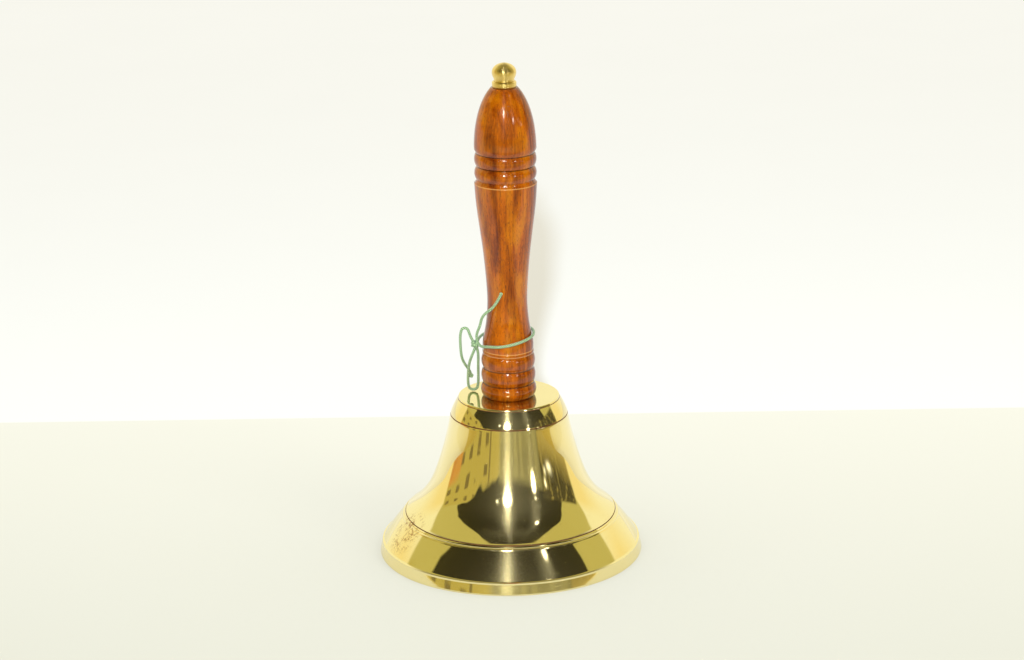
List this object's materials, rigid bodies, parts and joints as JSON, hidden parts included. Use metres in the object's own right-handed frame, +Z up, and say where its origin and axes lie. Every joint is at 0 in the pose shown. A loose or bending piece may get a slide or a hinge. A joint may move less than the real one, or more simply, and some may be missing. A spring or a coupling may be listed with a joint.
{
  "type": "handbell",
  "caption": "Brass handbell with a flared mouth, a turned wooden handle with bead rings, a brass ball finial, a hanging clapper inside and a thin green cord tied round the neck.",
  "frame": {"origin": "centre of the bell's mouth, in the plane of its rim, so the bell stands on the XY plane", "axes": "+Z up along the axis of the bell, handle and finial; +X to the right as seen from the front, where the cord's knot is on the left, at -X"},
  "size_m": [0.13, 0.13, 0.2453],
  "materials": {
    "polished_brass": "mirror polish with fine turning marks and a small tarnished patch",
    "satin_brass": "worn satin",
    "lacquered_wood": "reddish brown stain under gloss lacquer",
    "zinc_steel": "zinc plated, dull",
    "green_cord": "tight braid, slightly waxed"
  },
  "bodies": {
    "bell": {"bell_shell": "polished_brass", "handle": "lacquered_wood", "finial_ferrule": "satin_brass", "finial_knob": "satin_brass", "tie_rod": "zinc_steel", "crown_washer": "zinc_steel", "crown_nut": "zinc_steel", "yoke_nut": "zinc_steel", "cord_band": "green_cord", "cord_knot": "green_cord", "cord_loop": "green_cord", "cord_tail_upper": "green_cord", "cord_tail_lower": "green_cord", "cord_end_knot": "green_cord"},
    "yoke": {"clapper_yoke": "zinc_steel", "clapper_pin": "zinc_steel", "pin_retainer": "zinc_steel"},
    "clapper": {"clapper_rod": "zinc_steel", "clapper_ball": "satin_brass", "clapper_jam_nut": "zinc_steel"}
  },
  "joints": [
    {"name": "clapper_swivel", "type": "hinge", "parent": "bell", "child": "yoke", "pos_m": [0, 0, 0.0662], "axis": [0, 0, 1], "continuous": true},
    {"name": "clapper_swing", "type": "hinge", "parent": "yoke", "child": "clapper", "pos_m": [0, 0, 0.056], "axis": [0, 1, 0], "range_deg": [-43.5, 43.5]}
  ]
}
